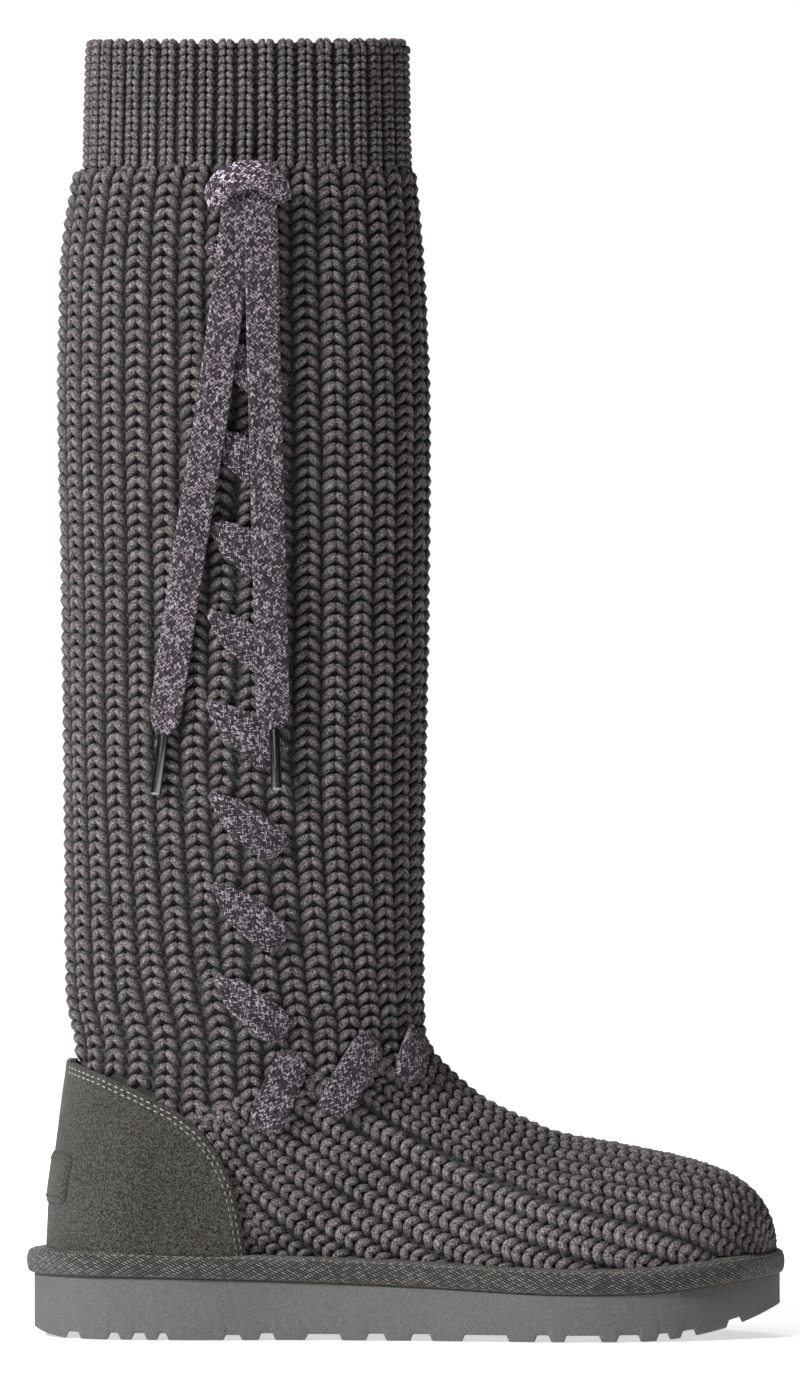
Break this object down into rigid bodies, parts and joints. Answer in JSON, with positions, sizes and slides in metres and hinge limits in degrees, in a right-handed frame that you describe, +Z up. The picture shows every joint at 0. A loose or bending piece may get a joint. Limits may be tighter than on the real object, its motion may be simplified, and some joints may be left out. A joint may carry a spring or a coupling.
{
  "type": "knitted boot",
  "caption": "Knee-high right boot knitted in one piece with a ribbed cuff, suede heel, thick foam sole and a flat lace threaded up its outer side.",
  "frame": {"origin": "on the floor, under the middle of the boot's bounding box, loose lace ends left out", "axes": "+X towards the toe, +Y towards the inner side of the foot, +Z up the leg"},
  "size_m": [0.2722, 0.1069, 0.464],
  "materials": {
    "knit": "chunky ribbed knit of a soft mid grey yarn",
    "foam": "matt moulded foam, grey with a fine speckle",
    "binding_tape": "olive grey twill tape",
    "suede": "dark olive grey suede with a short nap",
    "suede_label": "bare olive grey suede patch",
    "wool": "short light grey wool pile",
    "lace": "flat braid of lilac grey and dark plum yarns",
    "aglet": "dark grey metal tips, worn smooth"
  },
  "bodies": {
    "root": {"outsole": "foam", "binding": "binding_tape", "insole": "wool", "upper": "knit", "heel_counter": "suede", "heel_label": "suede_label", "aglet_back": "aglet", "aglet_front": "aglet", "lace_side_stitch_1": "lace", "lace_side_stitch_2": "lace", "lace_side_stitch_3": "lace", "lace_side_stitch_4": "lace", "lace_side_stitch_5": "lace", "lace_side_stitch_6": "lace", "lace_side_stitch_7": "lace", "lace_side_stitch_8": "lace", "lace_side_stitch_9": "lace", "lace_ankle_outer_1": "lace", "lace_ankle_outer_2": "lace", "lace_ankle_outer_3": "lace", "lace_ankle_inner_1": "lace", "lace_ankle_inner_2": "lace", "lace_ankle_inner_3": "lace", "lace_knot": "lace", "lace_end_back": "lace", "lace_end_front": "lace"}
  },
  "joints": []
}
